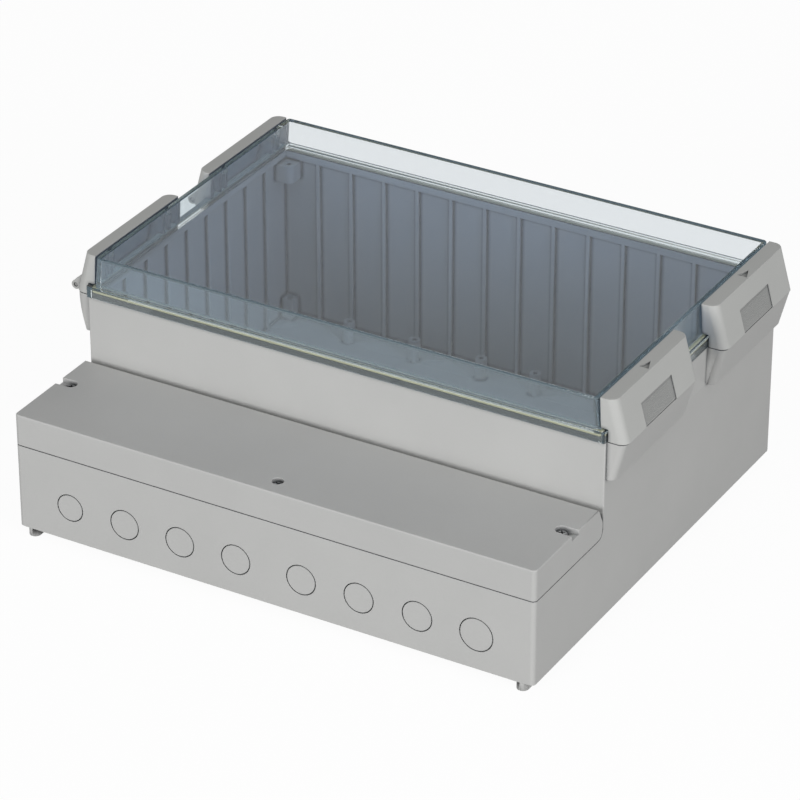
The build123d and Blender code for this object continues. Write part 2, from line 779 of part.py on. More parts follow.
# Latches on the right
for name, y in zip(["latch_front", "latch_rear"], clip_y):
    with BuildPart() as latch:
        add(clip_blank(clip_outer_x).moved(Location((0, y, 0))))
        # Nose that hooks under the catch
        nose_half = catch_length / 2 - clip_rib
        with BuildSketch(Plane.XZ.offset(-y - nose_half)):
            outline(
                (nose_x + nose_chamfer, nose_low_z),
                (nose_x, nose_low_z + nose_chamfer),
                (nose_x, nose_high_z),
                (clip_outer_x(nose_high_z) - clip_skin / 2, nose_high_z),
                (clip_outer_x(nose_low_z) - clip_skin / 2, nose_low_z),
            )
        extrude(amount=2 * nose_half)
        # Shallow finger pad with raised ridges, open at the lower edge
        pad_low_z = clip_z - cut_past
        pad_high_z = clip_z + grip_height
        pad_end_y = y + grip_shift + grip_length / 2
        with BuildSketch(Plane.XZ.offset(-pad_end_y)):
            outline(
                (clip_outer_x(pad_low_z) + cut_past, pad_low_z),
                (clip_outer_x(pad_low_z) - grip_depth, pad_low_z),
                (clip_outer_x(pad_high_z) - grip_depth, pad_high_z),
                (clip_outer_x(pad_high_z) + cut_past, pad_high_z),
            )
        extrude(amount=grip_length, mode=Mode.SUBTRACT)
        with BuildSketch(Plane.XZ.offset(-pad_end_y)):
            for step in range(grip_count):
                ridge_z = clip_z + (step + 1) * grip_pitch
                ridge_x = clip_outer_x(ridge_z) - grip_depth
                outline(
                    (ridge_x - ridge_height, ridge_z - ridge_half),
                    (ridge_x + ridge_height, ridge_z),
                    (ridge_x - ridge_height, ridge_z + ridge_half),
                )
        extrude(amount=grip_length)
        # Small pointer sunk in the top face
        pointer_x = clip_inner_x + pointer_inset
        pointer_y = y - pointer_back
        with BuildSketch(Plane.XY.offset(cover_top_z - pointer_depth)):
            outline(
                (pointer_x, pointer_y),
                (pointer_x + pointer_width, pointer_y),
                (pointer_x + pointer_width / 2, pointer_y + pointer_length),
            )
        extrude(amount=pointer_depth, mode=Mode.SUBTRACT)
    latch.part.label = name
    export_step(latch.part, "parts/" + name + ".step")

# Hinge leaves on the left
for name, y in zip(["hinge_leaf_front", "hinge_leaf_rear"], clip_y):
    with BuildPart() as leaf:
        add(clip_blank(leaf_outer_x).mirror(Plane.YZ).moved(Location((0, y, 0))))
        knuckle_length = barrel_half - middle_half - knuckle_gap
        web_cos = math.cos(math.radians(knuckle_web_angle))
        web_sin = math.sin(math.radians(knuckle_web_angle))
        for high_y in (y + barrel_half, y - middle_half - knuckle_gap):
            with BuildSketch(Plane.XZ.offset(-high_y)):
                with Locations((hinge_x, hinge_z)):
                    Circle(barrel_radius)
                outline(
                    (hinge_x - barrel_radius * web_cos, hinge_z + barrel_radius * web_sin),
                    (-leaf_outer_x(knuckle_web_z), knuckle_web_z),
                    (-leaf_outer_x(knuckle_web_z) + knuckle_web, knuckle_web_z),
                    (-leaf_low_x + knuckle_web, clip_z),
                    (-leaf_low_x, clip_z),
                    (hinge_x, barrel_low_z),
                )
            extrude(amount=knuckle_length)
            with BuildSketch(Plane.XZ.offset(-high_y)):
                with Locations((hinge_x, hinge_z)):
                    Circle(hinge_pin_radius + run_fit)
            extrude(amount=knuckle_length, mode=Mode.SUBTRACT)
    leaf.part.label = name
    export_step(leaf.part, "parts/" + name + ".step")

# Pivot pins of the latches and of the leaves
pin_names = ["latch_pin_front", "latch_pin_rear", "leaf_pin_front", "leaf_pin_rear"]
pin_points = [(side * pivot_x, y) for side in (1, -1) for y in clip_y]
for name, (x, y) in zip(pin_names, pin_points):
    with BuildPart() as pin:
        with BuildSketch(Plane.XZ.offset(-y - pin_half)):
            with Locations((x, pivot_z)):
                Circle(pivot_radius)
        extrude(amount=2 * pin_half)
    pin.part.label = name
    export_step(pin.part, "parts/" + name + ".step")

# Hinge pins, held in the knuckles of the base
for name, y in zip(["hinge_pin_front", "hinge_pin_rear"], clip_y):
    with BuildPart() as hinge_pin:
        with BuildSketch(Plane.XZ.offset(-y - barrel_half + hinge_pin_short)):
            with Locations((hinge_x, hinge_z)):
                Circle(hinge_pin_radius)
        extrude(amount=2 * (barrel_half - hinge_pin_short))
    hinge_pin.part.label = name
    export_step(hinge_pin.part, "parts/" + name + ".step")
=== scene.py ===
import math

import bmesh
import bpy
from mathutils import Matrix, Vector


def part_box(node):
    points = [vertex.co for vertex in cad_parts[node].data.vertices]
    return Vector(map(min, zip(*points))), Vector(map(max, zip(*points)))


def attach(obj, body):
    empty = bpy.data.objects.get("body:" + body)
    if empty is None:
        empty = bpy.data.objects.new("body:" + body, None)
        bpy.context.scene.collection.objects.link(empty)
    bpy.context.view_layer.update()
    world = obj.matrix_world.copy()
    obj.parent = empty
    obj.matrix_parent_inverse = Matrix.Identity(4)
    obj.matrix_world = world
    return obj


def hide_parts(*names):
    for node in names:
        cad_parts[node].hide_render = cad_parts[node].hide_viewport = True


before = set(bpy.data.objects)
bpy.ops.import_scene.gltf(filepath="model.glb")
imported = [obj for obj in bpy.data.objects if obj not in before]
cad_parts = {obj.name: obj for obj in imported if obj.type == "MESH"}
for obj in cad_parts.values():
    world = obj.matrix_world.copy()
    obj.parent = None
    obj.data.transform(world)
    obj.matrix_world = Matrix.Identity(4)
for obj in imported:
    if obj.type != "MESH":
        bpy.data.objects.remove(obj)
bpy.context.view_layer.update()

# Base shell
# One light grey polycarbonate moulding: low terminal bay, tall main bay, ribs, bosses and feet.
# Its tool is spark-eroded, so the faces carry a fine even grain, and every edge is just off sharp.
BASE_EDGE = 0.0003
EDGE_ROOM = 2.2
EDGE_STEPS = 2
EDGE_PROFILE = 0.5
SHORTEST_EDGE = 0.3
SHARP_TURN = math.radians(35)
FLAT_TURN = 0.01
WELD = 2e-6
FLAT_WEIGHT = 100
BASE_PALE = (0.512, 0.514, 0.505, 1.0)
BASE_DEEP = (0.480, 0.482, 0.474, 1.0)
BASE_ROUGH = 0.42
BASE_GRAIN = 0.5
SHEEN = 0.3
# Painted shade: an occlusion test of a few millimetres darkens the colour in crevices, corners and seams;
# it fades out near the floor, at the feet.
CREVICE = 0.003
CREVICE_RAYS = 6
CREVICE_DEEP = 0.55
CREVICE_OPEN = 0.97
CREVICE_SHADE = (0.12, 0.125, 0.13, 1.0)
FEET_LOW = 0.005
FEET_HIGH = 0.008
GRAIN_SIZE = 1500.0
GRAIN_FINE = 2.0
GRAIN_BREAK = 0.6
GRAIN_DEPTH = 0.00004
SPECK_SIZE = 900.0
SPECK_SHARE = 0.35
CLOUD_SIZE = 14.0
CLOUD_FINE = 3.0
CLOUD_BREAK = 0.55
DEEP_AT = 0.42
PALE_AT = 0.94
GLOSS_SPREAD = 0.05


def soften(node, name, edge):
    """A copy of a moulding with every outer edge rounded, as a moulded part has."""
    shell = bmesh.new()
    shell.from_mesh(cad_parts[node].data)
    bmesh.ops.remove_doubles(shell, verts=shell.verts, dist=WELD)
    bmesh.ops.dissolve_limit(shell, angle_limit=FLAT_TURN, verts=shell.verts, edges=shell.edges)
    corners = {
        line
        for line in shell.edges
        if len(line.link_faces) == 2 and line.is_convex and line.calc_face_angle(0) > SHARP_TURN
    }
    room = EDGE_ROOM * edge
    while True:
        tight = set()
        for line in corners:
            for end in line.verts:
                for other in end.link_edges:
                    if other not in corners and other.calc_length() < room:
                        tight.add(line)
            if line.calc_length() < SHORTEST_EDGE * edge:
                tight.add(line)
        if not tight:
            break
        corners -= tight
    bmesh.ops.bevel(
        shell,
        geom=[line for line in shell.edges if line in corners],
        offset=edge,
        segments=EDGE_STEPS,
        profile=EDGE_PROFILE,
        affect="EDGES",
        clamp_overlap=False,
        miter_outer="SHARP",
    )
    bmesh.ops.triangulate(shell, faces=[face for face in shell.faces if len(face.verts) > 4])
    mesh = bpy.data.meshes.new(name)
    shell.to_mesh(mesh)
    shell.free()
    return settle(mesh, name)


def settle(mesh, name):
    """An object at the origin around a finished mesh, smooth except at its corners, flats kept flat."""
    mesh.shade_smooth()
    mesh.set_sharp_from_angle(angle=SHARP_TURN)
    piece = bpy.data.objects.new(name, mesh)
    bpy.context.scene.collection.objects.link(piece)
    even = piece.modifiers.new("even", "WEIGHTED_NORMAL")
    even.mode = "FACE_AREA"
    even.weight = FLAT_WEIGHT
    even.keep_sharp = True
    graph = bpy.context.evaluated_depsgraph_get()
    piece.data = bpy.data.meshes.new_from_object(piece.evaluated_get(graph))
    piece.modifiers.clear()
    piece.data.name = name
    return piece


def wire(tree, output, target):
    """Links one socket to another."""
    tree.links.new(output, target)


def node_at(tree, kind, **inputs):
    """A new node with these values on its sockets."""
    made = tree.nodes.new(kind)
    for key, value in inputs.items():
        made.inputs[key.replace("_", " ")].default_value = value
    return made


def moulded_plastic(name, pale, deep, roughness, grain):
    """Spark-eroded plastic: slow cloud in the colour, fine grain, and painted shade in crevices, corners
    and seams, left off near the floor at the feet.
    """
    material = bpy.data.materials.new(name)
    material.use_nodes = True
    tree = material.node_tree
    shader = tree.nodes["Principled BSDF"]
    place = tree.nodes.new("ShaderNodeTexCoord")
    cloud = node_at(tree, "ShaderNodeTexNoise", Scale=CLOUD_SIZE, Detail=CLOUD_FINE, Roughness=CLOUD_BREAK)
    speck = node_at(tree, "ShaderNodeTexNoise", Scale=SPECK_SIZE, Detail=GRAIN_FINE)
    relief = node_at(tree, "ShaderNodeTexNoise", Scale=GRAIN_SIZE, Detail=GRAIN_FINE, Roughness=GRAIN_BREAK)
    for texture in (cloud, speck, relief):
        wire(tree, place.outputs["Object"], texture.inputs["Vector"])
    both = tree.nodes.new("ShaderNodeMath")
    both.operation = "MULTIPLY_ADD"
    both.inputs[1].default_value = SPECK_SHARE
    wire(tree, speck.outputs["Fac"], both.inputs[0])
    wire(tree, cloud.outputs["Fac"], both.inputs[2])
    tint = tree.nodes.new("ShaderNodeValToRGB")
    tint.color_ramp.elements[0].position = DEEP_AT
    tint.color_ramp.elements[0].color = deep
    tint.color_ramp.elements[1].position = PALE_AT
    tint.color_ramp.elements[1].color = pale
    wire(tree, both.outputs[0], tint.inputs["Fac"])
    # Painted shade: where the occlusion test finds faces close by, the colour is mixed towards a dark grey,
    # except near the floor.
    crevice_shade_test = node_at(tree, "ShaderNodeAmbientOcclusion", Distance=CREVICE)
    crevice_shade_test.samples = CREVICE_RAYS
    shaded = tree.nodes.new("ShaderNodeMix")
    shaded.data_type = "RGBA"
    depth = node_at(tree, "ShaderNodeMapRange")
    depth.inputs["From Min"].default_value = CREVICE_DEEP
    depth.inputs["From Max"].default_value = CREVICE_OPEN
    wire(tree, crevice_shade_test.outputs["AO"], depth.inputs["Value"])
    parts = tree.nodes.new("ShaderNodeSeparateXYZ")
    wire(tree, place.outputs["Object"], parts.inputs[0])
    feet = node_at(tree, "ShaderNodeMapRange")
    feet.inputs["From Min"].default_value = FEET_HIGH
    feet.inputs["From Max"].default_value = FEET_LOW
    wire(tree, parts.outputs["Z"], feet.inputs["Value"])
    unshaded = tree.nodes.new("ShaderNodeMath")
    unshaded.operation = "MAXIMUM"
    wire(tree, depth.outputs["Result"], unshaded.inputs[0])
    wire(tree, feet.outputs["Result"], unshaded.inputs[1])
    wire(tree, unshaded.outputs[0], shaded.inputs["Factor"])
    shaded.inputs["A"].default_value = CREVICE_SHADE
    wire(tree, tint.outputs["Color"], shaded.inputs["B"])
    wire(tree, shaded.outputs["Result"], shader.inputs["Base Color"])
    gloss = node_at(tree, "ShaderNodeMapRange")
    gloss.inputs["To Min"].default_value = roughness - GLOSS_SPREAD
    gloss.inputs["To Max"].default_value = roughness + GLOSS_SPREAD
    wire(tree, speck.outputs["Fac"], gloss.inputs["Value"])
    wire(tree, gloss.outputs["Result"], shader.inputs["Roughness"])
    bump = node_at(tree, "ShaderNodeBump", Strength=grain, Distance=GRAIN_DEPTH)
    wire(tree, relief.outputs["Fac"], bump.inputs["Height"])
    wire(tree, bump.outputs["Normal"], shader.inputs["Normal"])
    shader.inputs["Specular IOR Level"].default_value = SHEEN
    return material


def dress(piece, material):
    """Gives a piece one material and no other."""
    piece.data.materials.clear()
    piece.data.materials.append(material)


base_plastic = moulded_plastic("base_plastic", BASE_PALE, BASE_DEEP, BASE_ROUGH, BASE_GRAIN)
base = soften("base_shell", "base_moulding", BASE_EDGE)
dress(base, base_plastic)
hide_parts("base_shell")
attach(base, "base")

# Knockout blanks
# Eight round discs in the gland face, moulded with the base and held by a thin web at the back.
# A narrow groove runs round each one, so that a light blow frees it for a cable gland.
KNOCKOUT_NODES = ["knockout_" + letter for letter in "abcdefgh"]
BLANK_SIDES = 96
BLANK_FOOT = 0.97
BLANK_RINGS = [(0.06, 1.03), (0.85, 1.0), (0.09, 0.975), (0.0, 0.9), (0.0, 0.8)]


def tree_with(name, **inputs):
    """A Geometry Nodes tree with one named number input for each size, and its ends."""
    tree = bpy.data.node_groups.new(name, "GeometryNodeTree")
    kinds = {int: "NodeSocketInt", float: "NodeSocketFloat", Vector: "NodeSocketVector"}
    for label, value in inputs.items():
        kind = kinds.get(type(value), "NodeSocketMaterial")
        tree.interface.new_socket(label, in_out="INPUT", socket_type=kind)
    tree.interface.new_socket("Geometry", in_out="OUTPUT", socket_type="NodeSocketGeometry")
    return tree, tree.nodes.new("NodeGroupInput"), tree.nodes.new("NodeGroupOutput")


def grow(tree, name, **inputs):
    """Runs a tree with these sizes and keeps its result as a plain mesh."""
    host = bpy.data.objects.new(name + "_host", bpy.data.meshes.new(name + "_host"))
    bpy.context.scene.collection.objects.link(host)
    modifier = host.modifiers.new("shape", "NODES")
    modifier.node_group = tree
    sockets = {item.name: item.identifier for item in tree.interface.items_tree}
    for label, value in inputs.items():
        modifier[sockets[label]] = tuple(value) if isinstance(value, Vector) else value
    host.update_tag()
    graph = bpy.context.evaluated_depsgraph_get()
    mesh = bpy.data.meshes.new_from_object(host.evaluated_get(graph))
    mesh.name = name
    bpy.data.objects.remove(host)
    return settle(mesh, name)


def raise_face(tree, mesh, top, rise, scale):
    """Extrudes the marked face by rise and scales it, which adds one ring to a turned shape."""
    step = tree.nodes.new("GeometryNodeExtrudeMesh")
    step.inputs["Individual"].default_value = False
    step.inputs["Offset Scale"].default_value = rise
    wire(tree, mesh, step.inputs["Mesh"])
    if top is not None:
        wire(tree, top, step.inputs["Selection"])
    narrow = tree.nodes.new("GeometryNodeScaleElements")
    narrow.inputs["Scale"].default_value = scale
    wire(tree, step.outputs["Mesh"], narrow.inputs["Geometry"])
    wire(tree, step.outputs["Top"], narrow.inputs["Selection"])
    return narrow.outputs[0], step.outputs["Top"]


def turned(tree, radius, steps, sides):
    """A closed turned solid on its first circle, each step a rise and a share of the last width."""
    ring = tree.nodes.new("GeometryNodeMeshCircle")
    ring.fill_type = "NGON"
    ring.inputs["Vertices"].default_value = sides
    if isinstance(radius, bpy.types.NodeSocket):
        wire(tree, radius, ring.inputs["Radius"])
    else:
        ring.inputs["Radius"].default_value = radius
    under = tree.nodes.new("GeometryNodeFlipFaces")
    wire(tree, ring.outputs["Mesh"], under.inputs[0])
    mesh, top = ring.outputs["Mesh"], None
    for rise, scale in steps:
        mesh, top = raise_face(tree, mesh, top, rise, scale)
    whole = joined(tree, mesh, under.outputs[0])
    weld = tree.nodes.new("GeometryNodeMergeByDistance")
    weld.inputs["Distance"].default_value = WELD
    wire(tree, whole, weld.inputs["Geometry"])
    return weld.outputs[0]


def joined(tree, *meshes):
    """Several meshes as one."""
    made = tree.nodes.new("GeometryNodeJoinGeometry")
    for mesh in meshes:
        wire(tree, mesh, made.inputs[0])
    return made.outputs[0]


def moved(tree, mesh, shift=(0, 0, 0), turn=(0, 0, 0), size=(1, 1, 1)):
    """A mesh shifted, turned and sized, by values or by sockets."""
    made = tree.nodes.new("GeometryNodeTransform")
    wire(tree, mesh, made.inputs["Geometry"])
    for label, value in (("Translation", shift), ("Rotation", turn), ("Scale", size)):
        if isinstance(value, bpy.types.NodeSocket):
            wire(tree, value, made.inputs[label])
        else:
            made.inputs[label].default_value = value
    return made.outputs[0]


def close(tree, ends, mesh, material):
    """The tree's last two steps: real meshes, in their own material."""
    real = tree.nodes.new("GeometryNodeRealizeInstances")
    wire(tree, mesh, real.inputs[0])
    paint = tree.nodes.new("GeometryNodeSetMaterial")
    wire(tree, real.outputs[0], paint.inputs["Geometry"])
    wire(tree, material, paint.inputs["Material"])
    wire(tree, paint.outputs[0], ends.inputs[0])


def knockout_tree():
    """One round blank for each opening: a disc with chamfered rims, lying in the gland face."""
    tree, sizes, ends = tree_with(
        "knockout_blanks", Centre=Vector(), Radius=0.0, Thickness=0.0, Material=None
    )
    disc = turned(tree, BLANK_FOOT, BLANK_RINGS, BLANK_SIDES)
    size = tree.nodes.new("ShaderNodeCombineXYZ")
    wire(tree, sizes.outputs["Radius"], size.inputs[0])
    wire(tree, sizes.outputs["Radius"], size.inputs[1])
    wire(tree, sizes.outputs["Thickness"], size.inputs[2])
    flat = moved(tree, disc, size=size.outputs[0])
    upright = moved(tree, flat, shift=sizes.outputs["Centre"], turn=(math.pi / 2, 0, 0))
    close(tree, ends, upright, sizes.outputs["Material"])
    return tree


knockout_shape = knockout_tree()
for node in KNOCKOUT_NODES:
    low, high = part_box(node)
    blank = grow(
        knockout_shape,
        node + "_blank",
        Centre=Vector(((low.x + high.x) / 2, high.y, (low.z + high.z) / 2)),
        Radius=(high.x - low.x) / 2,
        Thickness=high.y - low.y,
        Material=base_plastic,
    )
    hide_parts(node)
    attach(blank, "base")

# Terminal cover
# Light grey moulding that drops over the tongue of the terminal bay, with a leaning rear edge.
# Same plastic as the base; its top edge is rounded and its three screw wells are sunk.
COVER_EDGE = 0.0003
COVER_PALE = (0.505, 0.507, 0.499, 1.0)
COVER_DEEP = (0.474, 0.476, 0.469, 1.0)
COVER_ROUGH = 0.4
COVER_GRAIN = 0.5

cover_plastic = moulded_plastic("terminal_plastic", COVER_PALE, COVER_DEEP, COVER_ROUGH, COVER_GRAIN)
terminal_cover = soften("terminal_cover", "terminal_cover_moulding", COVER_EDGE)
dress(terminal_cover, cover_plastic)
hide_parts("terminal_cover")
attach(terminal_cover, "terminal_lid")

# Terminal seal
# Dark extruded rubber strip in the rebate of the terminal cover, joined at its corners.
# It is pressed between the cover and the tongue, so only its inner face ever shows.
SEAL_DARK = (0.030, 0.031, 0.032, 1.0)
SEAL_ROUGH = 0.6
SEAL_PORES = 3000.0
SEAL_PORE_DEPTH = 0.00005
SEAL_WIDTH = 0.0017
SEAL_CORNER = 0.0008
SEAL_SOFT = 0.0004
CORNER_STEPS = 6
SOFT_STEPS = 3
SOFT_CLOUD = 60.0
DARKER = 0.8
PORE_STRENGTH = 0.5


def soft_material(name, colour, roughness, pore_size, depth):
    """Rubber or foam: matt, with fine pores in the relief and a little cloud in the colour."""
    material = bpy.data.materials.new(name)
    material.use_nodes = True
    tree = material.node_tree
    shader = tree.nodes["Principled BSDF"]
    place = tree.nodes.new("ShaderNodeTexCoord")
    pores = node_at(tree, "ShaderNodeTexVoronoi", Scale=pore_size)
    cloud = node_at(tree, "ShaderNodeTexNoise", Scale=SOFT_CLOUD, Detail=CLOUD_FINE)
    for texture in (pores, cloud):
        wire(tree, place.outputs["Object"], texture.inputs["Vector"])
    tint = tree.nodes.new("ShaderNodeValToRGB")
    tint.color_ramp.elements[0].color = tuple(DARKER * part for part in colour[:3]) + (1.0,)
    tint.color_ramp.elements[1].color = colour
    wire(tree, cloud.outputs["Fac"], tint.inputs["Fac"])
    wire(tree, tint.outputs["Color"], shader.inputs["Base Color"])
    bump = node_at(tree, "ShaderNodeBump", Strength=PORE_STRENGTH, Distance=depth)
    wire(tree, pores.outputs["Distance"], bump.inputs["Height"])
    wire(tree, bump.outputs["Normal"], shader.inputs["Normal"])
    shader.inputs["Roughness"].default_value = roughness
    return material


def bead_tree():
    """A seal that follows a rounded rectangle, with a soft-cornered section."""
    tree, sizes, ends = tree_with(
        "seal_bead",
        Length=0.0,
        Depth=0.0,
        Corner=0.0,
        Width=0.0,
        Height=0.0,
        Soft=0.0,
        Centre=Vector(),
        Material=None,
    )
    path = tree.nodes.new("GeometryNodeCurvePrimitiveQuadrilateral")
    wire(tree, sizes.outputs["Length"], path.inputs["Width"])
    wire(tree, sizes.outputs["Depth"], path.inputs["Height"])
    section = tree.nodes.new("GeometryNodeCurvePrimitiveQuadrilateral")
    wire(tree, sizes.outputs["Width"], section.inputs["Width"])
    wire(tree, sizes.outputs["Height"], section.inputs["Height"])
    rounded = []
    for line, radius, count in ((path, "Corner", CORNER_STEPS), (section, "Soft", SOFT_STEPS)):
        bend = tree.nodes.new("GeometryNodeFilletCurve")
        bend.mode = "POLY"
        bend.inputs["Count"].default_value = count
        wire(tree, line.outputs[0], bend.inputs["Curve"])
        wire(tree, sizes.outputs[radius], bend.inputs["Radius"])
        rounded.append(bend.outputs[0])
    level = tree.nodes.new("GeometryNodeSetCurveNormal")
    level.mode = "Z_UP"
    wire(tree, rounded[0], level.inputs["Curve"])
    sweep = tree.nodes.new("GeometryNodeCurveToMesh")
    wire(tree, level.outputs[0], sweep.inputs["Curve"])
    wire(tree, rounded[1], sweep.inputs["Profile Curve"])
    bead = moved(tree, sweep.outputs[0], shift=sizes.outputs["Centre"])
    close(tree, ends, bead, sizes.outputs["Material"])
    return tree


def lay_bead(node, name, body, width, corner, soft, material):
    """Lays a seal in the place of its CAD node and lets it ride on its body."""
    low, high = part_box(node)
    middle = (low + high) / 2
    bead = grow(
        bead_shape,
        name,
        Length=high.x - low.x - width,
        Depth=high.y - low.y - width,
        Corner=corner,
        Width=width,
        Height=high.z - low.z,
        Soft=soft,
        Centre=middle,
        Material=material,
    )
    outward(bead)
    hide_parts(node)
    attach(bead, body)


def outward(piece):
    """Turns every face of a closed piece to face out."""
    shell = bmesh.new()
    shell.from_mesh(piece.data)
    bmesh.ops.recalc_face_normals(shell, faces=shell.faces)
    shell.to_mesh(piece.data)
    shell.free()


bead_shape = bead_tree()
seal_rubber = soft_material("seal_rubber", SEAL_DARK, SEAL_ROUGH, SEAL_PORES, SEAL_PORE_DEPTH)
lay_bead(
    "terminal_seal",
    "terminal_seal_strip",
    "terminal_lid",
    SEAL_WIDTH,
    SEAL_CORNER,
    SEAL_SOFT,
    seal_rubber,
)

# Terminal cover screws
# Three zinc-plated pan-head screws with a cross recess, sunk in wells of the terminal cover.
# Each is threaded along its lower half and was last tightened to a turn of its own.
SCREWS = [
    ("terminal_screw_left", "left_screw", 20.0),
    ("terminal_screw_centre", "centre_screw", 65.0),
    ("terminal_screw_right", "right_screw", 35.0),
]
HEAD_HEIGHT = 0.0032
HEAD_RADIUS = 0.0034
HEAD_SIDES = 48
HEAD_RINGS = [(0.0018, 1.0), (0.0006, 0.97), (0.0004, 0.91), (0.0003, 0.82), (0.0001, 0.66)]
SLOT_SIZE = (0.0042, 0.0009, 0.004)
SLOT_LEVEL = 0.0033
HUB_SIDES = 24
HUB_TOP = 0.0011
HUB_TIP = 0.0004
HUB_DEPTH = 0.003
HUB_LEVEL = 0.001
NECK_RINGS = [(0.0104, 1.0), (0.0004, 0.8)]
STEM_SIDES = 32
THREAD_LENGTH = 0.014
THREAD_PITCH = 0.0012
THREAD_STEPS = 24
RIDGE_SIDES = 4
CORE_RADIUS = 0.00155
TIP_SHARE = 0.6
TIP_LENGTH = 0.0008
SHANK_RADIUS = 0.002
ZINC = (0.58, 0.59, 0.60, 1.0)
ZINC_ROUGH = 0.3
CRYSTALS = 2500.0
CRYSTAL_FINE = 3.0
PLATE_SPREAD = 0.08


def plated_steel(name, colour, roughness):
    """Zinc-plated steel: fine crystals vary the colour and gloss."""
    material = bpy.data.materials.new(name)
    material.use_nodes = True
    tree = material.node_tree
    shader = tree.nodes["Principled BSDF"]
    place = tree.nodes.new("ShaderNodeTexCoord")
    grain = node_at(tree, "ShaderNodeTexNoise", Scale=CRYSTALS, Detail=CRYSTAL_FINE)
    wire(tree, place.outputs["Object"], grain.inputs["Vector"])
    tint = tree.nodes.new("ShaderNodeValToRGB")
    tint.color_ramp.elements[0].color = tuple(DARKER * part for part in colour[:3]) + (1.0,)
    tint.color_ramp.elements[1].color = colour
    wire(tree, grain.outputs["Fac"], tint.inputs["Fac"])
    wire(tree, tint.outputs["Color"], shader.inputs["Base Color"])
    gloss = node_at(tree, "ShaderNodeMapRange")
    gloss.inputs["To Min"].default_value = roughness - PLATE_SPREAD
    gloss.inputs["To Max"].default_value = roughness + PLATE_SPREAD
    wire(tree, grain.outputs["Fac"], gloss.inputs["Value"])
    wire(tree, gloss.outputs["Result"], shader.inputs["Roughness"])
    shader.inputs["Metallic"].default_value = 1.0
    return material


def screw_tree():
    """Pan head, cross recess, plain neck and thread, with the underside of the head at zero."""
    tree, sizes, ends = tree_with(
        "cover_screw", Place=Vector(), Turn=Vector(), Length=0.0, Material=None
    )
    head = turned(tree, HEAD_RADIUS, HEAD_RINGS, HEAD_SIDES)
    slots = []
    for turn in (0.0, math.pi / 2):
        slot = tree.nodes.new("GeometryNodeMeshCube")
        slot.inputs["Size"].default_value = SLOT_SIZE
        slots.append(moved(tree, slot.outputs[0], shift=(0, 0, SLOT_LEVEL), turn=(0, 0, turn)))
    hub = tree.nodes.new("GeometryNodeMeshCone")
    hub.inputs["Vertices"].default_value = HUB_SIDES
    hub.inputs["Radius Top"].default_value = HUB_TOP
    hub.inputs["Radius Bottom"].default_value = HUB_TIP
    hub.inputs["Depth"].default_value = HUB_DEPTH
    slots.append(moved(tree, hub.outputs[0], shift=(0, 0, HUB_LEVEL)))
    recess = tree.nodes.new("GeometryNodeMeshBoolean")
    recess.operation = "DIFFERENCE"
    recess.solver = "EXACT"
    wire(tree, head, recess.inputs["Mesh 1"])
    for slot in slots:
        wire(tree, slot, recess.inputs["Mesh 2"])
    neck = turned(tree, SHANK_RADIUS, NECK_RINGS, STEM_SIDES)
    core_rings = [(TIP_LENGTH, 1 / TIP_SHARE), (THREAD_LENGTH, 1.0)]
    core = turned(tree, CORE_RADIUS * TIP_SHARE, core_rings, STEM_SIDES)
    coil = tree.nodes.new("GeometryNodeCurveSpiral")
    coil.inputs["Resolution"].default_value = THREAD_STEPS
    coil.inputs["Rotations"].default_value = (THREAD_LENGTH - THREAD_PITCH) / THREAD_PITCH
    coil.inputs["Start Radius"].default_value = CORE_RADIUS
    coil.inputs["End Radius"].default_value = CORE_RADIUS
    coil.inputs["Height"].default_value = THREAD_LENGTH - THREAD_PITCH
    flank = tree.nodes.new("GeometryNodeCurvePrimitiveCircle")
    flank.inputs["Resolution"].default_value = RIDGE_SIDES
    flank.inputs["Radius"].default_value = SHANK_RADIUS - CORE_RADIUS
    ridge = tree.nodes.new("GeometryNodeCurveToMesh")
    ridge.inputs["Fill Caps"].default_value = True
    wire(tree, coil.outputs[0], ridge.inputs["Curve"])
    wire(tree, flank.outputs[0], ridge.inputs["Profile Curve"])
    down = tree.nodes.new("ShaderNodeCombineXYZ")
    flip = tree.nodes.new("ShaderNodeMath")
    flip.operation = "MULTIPLY"
    flip.inputs[1].default_value = -1.0
    wire(tree, sizes.outputs["Length"], flip.inputs[0])
    wire(tree, flip.outputs[0], down.inputs[2])
    thread = joined(tree, core, moved(tree, ridge.outputs[0], shift=(0, 0, THREAD_PITCH)))
    stem = joined(
        tree,
        moved(tree, neck, turn=(math.pi, 0, 0)),
        moved(tree, thread, shift=down.outputs[0]),
        recess.outputs["Mesh"],
    )
    screw = moved(tree, stem, shift=sizes.outputs["Place"], turn=sizes.outputs["Turn"])
    close(tree, ends, screw, sizes.outputs["Material"])
    return tree


screw_shape = screw_tree()
zinc_steel = plated_steel("zinc_steel", ZINC, ZINC_ROUGH)
for node, body, turn in SCREWS:
    low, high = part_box(node)
    screw = grow(
        screw_shape,
        node + "_zinc",
        Place=Vector(((low.x + high.x) / 2, (low.y + high.y) / 2, high.z - HEAD_HEIGHT)),
        Turn=Vector((0, 0, math.radians(turn))),
        Length=high.z - HEAD_HEIGHT - low.z,
        Material=zinc_steel,
    )
    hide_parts(node)
    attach(screw, body)

# Window cover
# Clear polycarbonate moulding with a faint smoke-blue tint, 3 mm thick, drafted for its tool.
# Its top is polished, its front and side walls less so. Its thin flange drops over the rim of
# the base and holds the seal, and its ears carry the clips.
WINDOW_EDGE = 0.00025
SMOKE = (0.965, 0.988, 1.0, 1.0)
SMOKE_BEAM = (0.40, 0.46, 0.57, 1.0)
SMOKE_SKY = (0.76, 0.88, 1.0, 1.0)
